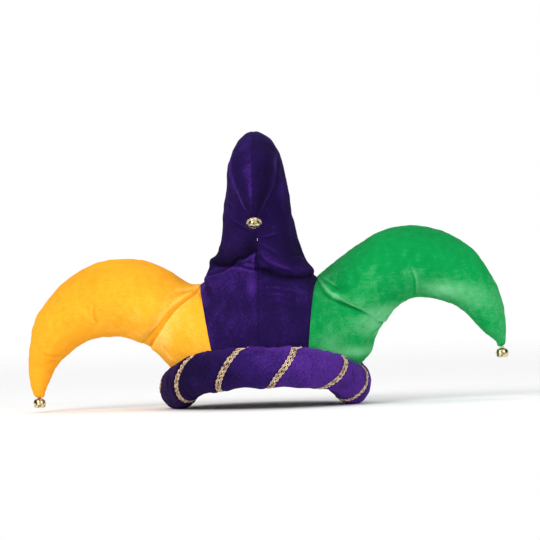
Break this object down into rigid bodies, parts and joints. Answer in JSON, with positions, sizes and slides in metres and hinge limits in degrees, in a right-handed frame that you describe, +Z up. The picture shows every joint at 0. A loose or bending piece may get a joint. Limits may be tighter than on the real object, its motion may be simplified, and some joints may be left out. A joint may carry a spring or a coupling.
{
  "type": "jester hat",
  "caption": "Soft velvet jester hat: curved stuffed horns tipped with jingle bells over a crown, on a stuffed roll brim wound with gold braid.",
  "frame": {"origin": "centre of the head opening in plan, on the surface that the hat stands on, which is the bottom centre of its box", "axes": "+X to the right when the hat is seen from the front, towards the green horn; +Y to the back; +Z up"},
  "size_m": [0.575, 0.2819, 0.3323],
  "materials": {
    "purple_velvet": "short pile velvet, soft sheen",
    "roll_velvet": "short pile velvet, soft sheen",
    "yellow_velvet": "short pile velvet, soft sheen",
    "green_velvet": "short pile velvet, soft sheen",
    "gold_braid": "looped metallic gold gimp braid",
    "brass": "pale plated brass, polished"
  },
  "bodies": {
    "root": {"horn_purple": "purple_velvet", "horn_yellow": "yellow_velvet", "horn_green": "green_velvet", "back_panel": "purple_velvet", "brim_roll": "roll_velvet", "braid_01": "gold_braid", "braid_02": "gold_braid", "braid_03": "gold_braid", "braid_04": "gold_braid", "braid_05": "gold_braid", "braid_06": "gold_braid", "braid_07": "gold_braid", "braid_08": "gold_braid", "braid_09": "gold_braid", "braid_10": "gold_braid", "braid_11": "gold_braid", "bell_purple": "brass", "bell_yellow": "brass", "bell_green": "brass", "pellet_purple": "brass", "pellet_yellow": "brass", "pellet_green": "brass"}
  },
  "joints": []
}
